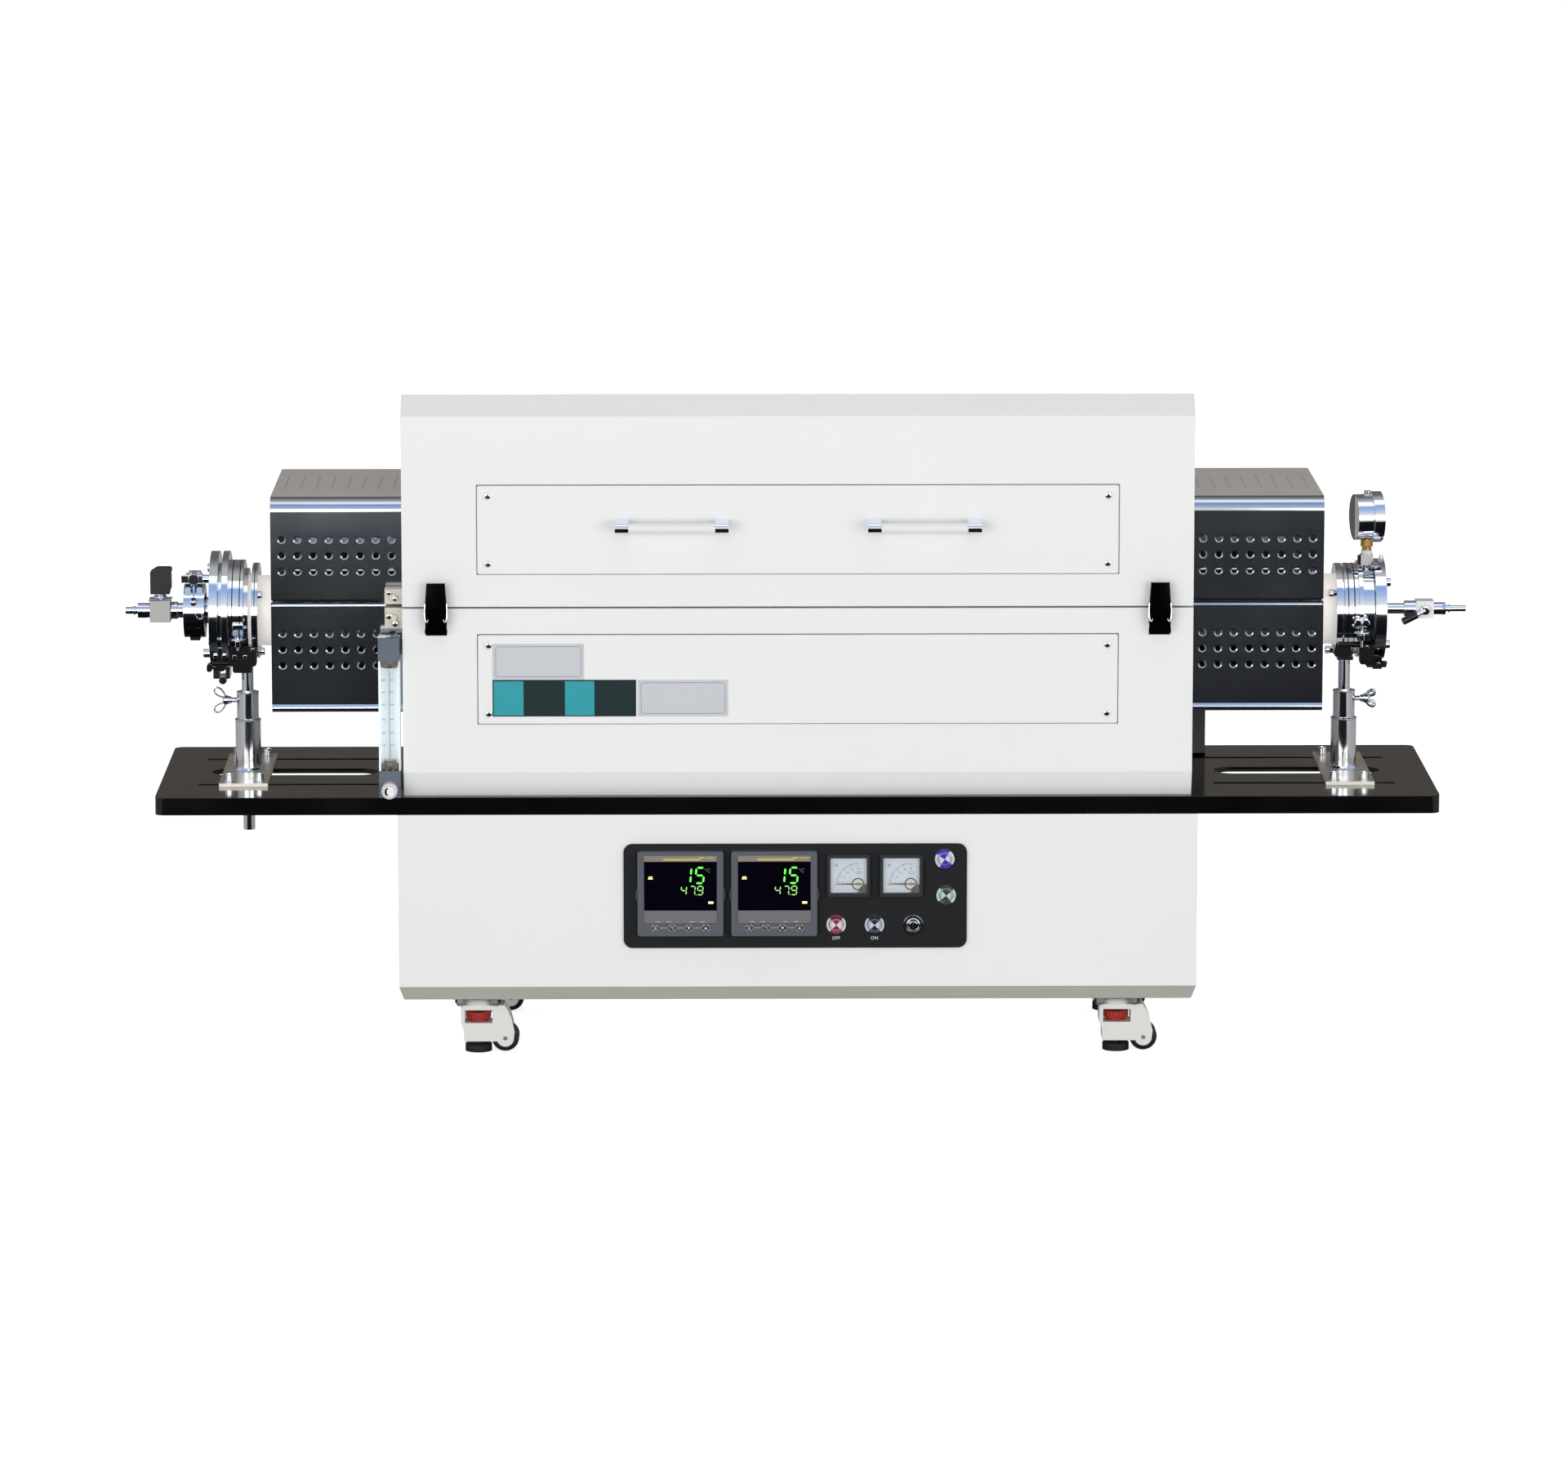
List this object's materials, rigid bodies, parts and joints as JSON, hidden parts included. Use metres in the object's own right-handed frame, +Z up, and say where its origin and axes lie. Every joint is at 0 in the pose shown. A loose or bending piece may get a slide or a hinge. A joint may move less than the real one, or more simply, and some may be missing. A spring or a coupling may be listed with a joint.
{
  "type": "tube furnace",
  "caption": "Split tube furnace: horizontal ceramic tube with gas flanges in a hinged two-part body on a control cabinet with levelling casters.",
  "frame": {"origin": "on the floor, below the middle of the cabinet", "axes": "+X along the process tube to the right seen from the front, -Y to the front, +Z up"},
  "size_m": [1.52, 0.398, 0.75],
  "materials": {
    "cabinet_paint": "satin powder coat, off-white",
    "shelf_paint": "black powder coat",
    "shell_paint": "satin powder coat, off-white",
    "zinc_plate": "zinc-plated pressed steel",
    "white_nylon": "moulded nylon",
    "black_nylon": "moulded nylon",
    "pad_rubber": "rubber pad on a steel stem",
    "electrics": "mixed electrical parts",
    "panel_black": "black anodised panel",
    "instrument": "moulded instrument case",
    "chrome": "polished chrome plate",
    "stainless": "polished stainless steel",
    "stainless_sheet": "perforated stainless sheet",
    "steel_button": "spun metal face",
    "red_button": "spun metal face, red tint",
    "key_plastic": "moulded key",
    "pointer_paint": "painted pointer",
    "fibre": "vacuum-formed ceramic fibre",
    "alumina": "sintered alumina ceramic",
    "clear_acrylic": "clear moulded plastic",
    "meter_body": "moulded block with brass nuts",
    "white_grip": "moulded white sleeve",
    "black_grip": "moulded black plastic"
  },
  "bodies": {
    "root": {"base_cabinet": "cabinet_paint", "bench_shelf": "shelf_paint", "caster_plates": "zinc_plate", "power_electrics": "electrics", "control_panel": "panel_black", "instrument_cases": "instrument", "panel_bezels": "stainless", "lower_shell": "shell_paint", "lower_access_panel": "shell_paint", "latch_bases": "chrome", "hinge_leaves_lower": "zinc_plate", "lower_heater": "fibre", "process_tube": "alumina", "lower_guards": "stainless_sheet", "flow_meter_body": "meter_body", "flow_meter_tube": "clear_acrylic", "left_flange": "stainless", "right_flange": "stainless", "kf_clamp": "stainless", "valve_bodies": "stainless", "gauge_case": "stainless", "flange_stands": "stainless"},
    "lid": {"upper_shell": "shell_paint", "upper_access_panel": "shell_paint", "handle_brackets": "chrome", "handle_grips": "white_grip", "latch_keepers": "chrome", "hinge_leaves_upper": "zinc_plate", "upper_heater": "fibre", "upper_guards": "stainless_sheet"},
    "caster_housing_front_left": {"caster_housing_front_left": "white_nylon"},
    "caster_wheel_front_left": {"caster_wheel_front_left": "black_nylon"},
    "caster_pad_front_left": {"caster_pad_front_left": "pad_rubber"},
    "caster_housing_front_right": {"caster_housing_front_right": "white_nylon"},
    "caster_wheel_front_right": {"caster_wheel_front_right": "black_nylon"},
    "caster_pad_front_right": {"caster_pad_front_right": "pad_rubber"},
    "caster_housing_rear_left": {"caster_housing_rear_left": "white_nylon"},
    "caster_wheel_rear_left": {"caster_wheel_rear_left": "black_nylon"},
    "caster_pad_rear_left": {"caster_pad_rear_left": "pad_rubber"},
    "caster_housing_rear_right": {"caster_housing_rear_right": "white_nylon"},
    "caster_wheel_rear_right": {"caster_wheel_rear_right": "black_nylon"},
    "caster_pad_rear_right": {"caster_pad_rear_right": "pad_rubber"},
    "controller_keys_left": {"controller_keys_left": "key_plastic"},
    "controller_keys_right": {"controller_keys_right": "key_plastic"},
    "ammeter_pointer_left": {"ammeter_pointer_left": "pointer_paint"},
    "ammeter_pointer_right": {"ammeter_pointer_right": "pointer_paint"},
    "stop_button": {"stop_button": "red_button"},
    "start_button": {"start_button": "steel_button"},
    "key_switch_barrel": {"key_switch_barrel": "steel_button"},
    "flow_meter_knob": {"flow_meter_knob": "black_grip"},
    "flow_meter_float": {"flow_meter_float": "steel_button"},
    "latch_lever_left": {"latch_lever_left": "chrome"},
    "latch_lever_right": {"latch_lever_right": "chrome"},
    "left_valve_handle": {"left_valve_handle": "black_grip"},
    "right_valve_lever": {"right_valve_lever": "chrome"},
    "gauge_pointer": {"gauge_pointer": "pointer_paint"},
    "support_rod_left": {"support_rod_left": "stainless"},
    "wing_screw_left": {"wing_screw_left": "chrome"},
    "support_rod_right": {"support_rod_right": "stainless"},
    "wing_screw_right": {"wing_screw_right": "chrome"}
  },
  "joints": [
    {"name": "lid_hinge", "type": "hinge", "parent": "root", "child": "lid", "pos_m": [0, 0.172, 0.514], "axis": [-1, 0, 0], "range_deg": [0, 75]},
    {"name": "caster_swivel_front_left", "type": "hinge", "parent": "root", "child": "caster_housing_front_left", "pos_m": [-0.36, -0.11, 0.06], "axis": [0, 0, 1], "continuous": true},
    {"name": "caster_roll_front_left", "type": "hinge", "parent": "caster_housing_front_left", "child": "caster_wheel_front_left", "pos_m": [-0.3295, -0.11, 0.0165], "axis": [0, 1, 0], "continuous": true},
    {"name": "caster_level_front_left", "type": "slide", "parent": "root", "child": "caster_pad_front_left", "axis": [0, 0, 1], "range_m": [-0.006, 0.004]},
    {"name": "caster_swivel_front_right", "type": "hinge", "parent": "root", "child": "caster_housing_front_right", "pos_m": [0.36, -0.11, 0.06], "axis": [0, 0, 1], "continuous": true},
    {"name": "caster_roll_front_right", "type": "hinge", "parent": "caster_housing_front_right", "child": "caster_wheel_front_right", "pos_m": [0.3905, -0.11, 0.0165], "axis": [0, 1, 0], "continuous": true},
    {"name": "caster_level_front_right", "type": "slide", "parent": "root", "child": "caster_pad_front_right", "axis": [0, 0, 1], "range_m": [-0.006, 0.004]},
    {"name": "caster_swivel_rear_left", "type": "hinge", "parent": "root", "child": "caster_housing_rear_left", "pos_m": [-0.36, 0.11, 0.06], "axis": [0, 0, 1], "continuous": true},
    {"name": "caster_roll_rear_left", "type": "hinge", "parent": "caster_housing_rear_left", "child": "caster_wheel_rear_left", "pos_m": [-0.3295, 0.11, 0.0165], "axis": [0, 1, 0], "continuous": true},
    {"name": "caster_level_rear_left", "type": "slide", "parent": "root", "child": "caster_pad_rear_left", "axis": [0, 0, 1], "range_m": [-0.006, 0.004]},
    {"name": "caster_swivel_rear_right", "type": "hinge", "parent": "root", "child": "caster_housing_rear_right", "pos_m": [0.36, 0.11, 0.06], "axis": [0, 0, 1], "continuous": true},
    {"name": "caster_roll_rear_right", "type": "hinge", "parent": "caster_housing_rear_right", "child": "caster_wheel_rear_right", "pos_m": [0.3905, 0.11, 0.0165], "axis": [0, 1, 0], "continuous": true},
    {"name": "caster_level_rear_right", "type": "slide", "parent": "root", "child": "caster_pad_rear_right", "axis": [0, 0, 1], "range_m": [-0.006, 0.004]},
    {"name": "controller_keys_press_left", "type": "slide", "parent": "root", "child": "controller_keys_left", "axis": [0, 1, 0], "range_m": [0, 0.0008], "stiffness_N_per_m": 1500},
    {"name": "controller_keys_press_right", "type": "slide", "parent": "root", "child": "controller_keys_right", "axis": [0, 1, 0], "range_m": [0, 0.0008], "stiffness_N_per_m": 1500},
    {"name": "ammeter_pointer_turn_left", "type": "hinge", "parent": "root", "child": "ammeter_pointer_left", "pos_m": [0.0671, -0.171, 0.202], "axis": [0, 1, 0], "range_deg": [0, 90]},
    {"name": "ammeter_pointer_turn_right", "type": "hinge", "parent": "root", "child": "ammeter_pointer_right", "pos_m": [0.1261, -0.171, 0.202], "axis": [0, 1, 0], "range_deg": [0, 90]},
    {"name": "stop_button_press", "type": "slide", "parent": "root", "child": "stop_button", "axis": [0, 1, 0], "range_m": [0, 0.003], "stiffness_N_per_m": 600},
    {"name": "start_button_press", "type": "slide", "parent": "root", "child": "start_button", "axis": [0, 1, 0], "range_m": [0, 0.003], "stiffness_N_per_m": 600},
    {"name": "key_switch_turn", "type": "hinge", "parent": "root", "child": "key_switch_barrel", "pos_m": [0.129, -0.168, 0.1554], "axis": [0, 1, 0], "range_deg": [0, 90]},
    {"name": "flow_meter_knob_turn", "type": "hinge", "parent": "root", "child": "flow_meter_knob", "pos_m": [-0.455, -0.18, 0.311], "axis": [0, -1, 0], "range_deg": [0, 1080]},
    {"name": "flow_meter_float_rise", "type": "slide", "parent": "root", "child": "flow_meter_float", "axis": [0, 0, 1], "range_m": [0, 0.105]},
    {"name": "latch_swing_left", "type": "hinge", "parent": "root", "child": "latch_lever_left", "pos_m": [-0.402, -0.173, 0.49], "axis": [1, 0, 0], "range_deg": [0, 120]},
    {"name": "latch_swing_right", "type": "hinge", "parent": "root", "child": "latch_lever_right", "pos_m": [0.402, -0.173, 0.49], "axis": [1, 0, 0], "range_deg": [0, 120]},
    {"name": "left_valve_turn", "type": "hinge", "parent": "root", "child": "left_valve_handle", "pos_m": [-0.7205, 0, 0.5], "axis": [0, 0, 1], "range_deg": [0, 90]},
    {"name": "right_valve_turn", "type": "hinge", "parent": "root", "child": "right_valve_lever", "pos_m": [0.713, -0.012, 0.486], "axis": [0, 1, 0], "range_deg": [0, 90]},
    {"name": "gauge_pointer_turn", "type": "hinge", "parent": "root", "child": "gauge_pointer", "pos_m": [0.6467, 0, 0.591], "axis": [-0.9903, -0.1392, 0], "range_deg": [0, 270]},
    {"name": "support_rod_slide_left", "type": "slide", "parent": "root", "child": "support_rod_left", "axis": [0, 0, 1], "range_m": [-0.03, 0]},
    {"name": "wing_screw_turn_left", "type": "hinge", "parent": "root", "child": "wing_screw_left", "pos_m": [-0.645, 0, 0.383], "axis": [-1, 0, 0], "range_deg": [0, 720]},
    {"name": "support_rod_slide_right", "type": "slide", "parent": "root", "child": "support_rod_right", "axis": [0, 0, 1], "range_m": [-0.03, 0]},
    {"name": "wing_screw_turn_right", "type": "hinge", "parent": "root", "child": "wing_screw_right", "pos_m": [0.645, 0, 0.383], "axis": [1, 0, 0], "range_deg": [0, 720]}
  ]
}
